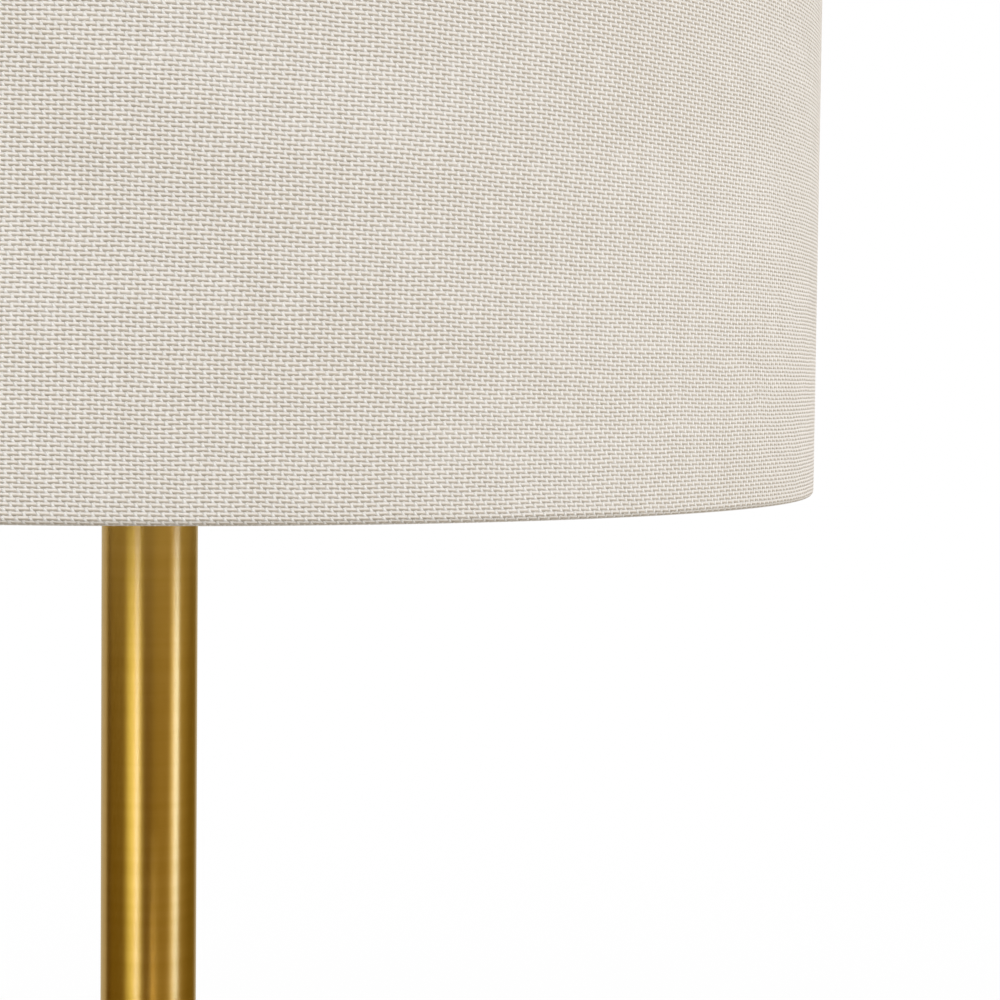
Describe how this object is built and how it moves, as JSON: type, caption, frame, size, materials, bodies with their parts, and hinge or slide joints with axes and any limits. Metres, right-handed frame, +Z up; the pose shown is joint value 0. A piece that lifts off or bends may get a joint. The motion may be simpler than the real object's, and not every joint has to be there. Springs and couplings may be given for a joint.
{
  "type": "tripod table lamp",
  "caption": "Table lamp with a linen drum shade over a brushed brass stem on three bent brass legs, with harp, finial, turn-knob lampholder and bulb.",
  "frame": {"origin": "on the surface that the lamp stands on, under the middle of the stem", "axes": "+Z up along the stem; -Y towards the front leg and the switch knob; +Y towards the cord's bushing; +X to the right seen from the front"},
  "size_m": [0.35, 0.35, 0.462],
  "materials": {
    "linen": "natural plain-weave linen, matt",
    "liner": "white styrene sheet",
    "white_wire": "white enamelled steel wire",
    "brushed_brass": "brushed around the tube, lacquered",
    "brass": "satin, lacquered",
    "plate": "plain pressed brass",
    "zinc": "zinc plated steel",
    "rubber": "matt black",
    "bushing": "moulded black nylon",
    "moulding": "moulded black resin",
    "card": "pressed insulating card",
    "opal_glass": "opal, satin",
    "clear_glass": "clear",
    "filament": "phosphor coated light sticks"
  },
  "bodies": {
    "base": {"pad_front": "rubber", "pad_right": "rubber", "pad_left": "rubber", "foot_front": "brass", "foot_right": "brass", "foot_left": "brass", "leg_front": "brass", "leg_right": "brass", "leg_left": "brass", "leg_screws": "zinc", "hub": "brass", "hub_cover": "plate", "cord_bushing": "bushing", "base_washer": "zinc", "base_nut": "zinc", "threaded_rod": "zinc", "stem_collar": "brass", "stem": "brushed_brass", "stem_cap": "brass", "saddle": "brass", "saddle_nut": "brass", "harp": "brass", "harp_stud": "brass", "holder_cap": "brass", "holder_cap_screw": "zinc", "holder_shell": "brass", "insulating_sleeve": "card", "switch_block": "moulding", "screw_shell": "plate", "middle_contact": "plate", "terminal_screws": "plate"},
    "shade": {"shade_liner": "liner", "shade_fabric": "linen", "top_hem": "linen", "bottom_hem": "linen", "top_ring": "white_wire", "bottom_ring": "white_wire", "spider_washer": "white_wire", "spider_arms": "white_wire"},
    "finial": {"finial": "brass"},
    "bulb": {"bulb_contact": "zinc", "bulb_insulator": "moulding", "bulb_cap": "zinc", "bulb_globe": "opal_glass", "bulb_mount": "clear_glass", "bulb_filaments": "filament"},
    "switch": {"switch_shaft": "plate", "switch_knob": "moulding"},
    "sleeve_right": {"harp_sleeve_right": "brass"},
    "sleeve_left": {"harp_sleeve_left": "brass"}
  },
  "joints": [
    {"name": "shade_swivel", "type": "hinge", "parent": "base", "child": "shade", "pos_m": [0, 0, 0.4332], "axis": [0, 0, 1], "continuous": true},
    {"name": "finial_turn", "type": "hinge", "parent": "base", "child": "finial", "pos_m": [0, 0, 0.44], "axis": [0, 0, 1], "continuous": true},
    {"name": "bulb_turn", "type": "hinge", "parent": "base", "child": "bulb", "pos_m": [0, 0, 0.31], "axis": [0, 0, 1], "continuous": true},
    {"name": "switch_turn", "type": "hinge", "parent": "base", "child": "switch", "pos_m": [0, -0.025, 0.2866], "axis": [0, 1, 0], "continuous": true},
    {"name": "sleeve_right_lift", "type": "slide", "parent": "base", "child": "sleeve_right", "axis": [0, 0, 1], "range_m": [0, 0.012]},
    {"name": "sleeve_left_lift", "type": "slide", "parent": "base", "child": "sleeve_left", "axis": [0, 0, 1], "range_m": [0, 0.012]}
  ]
}
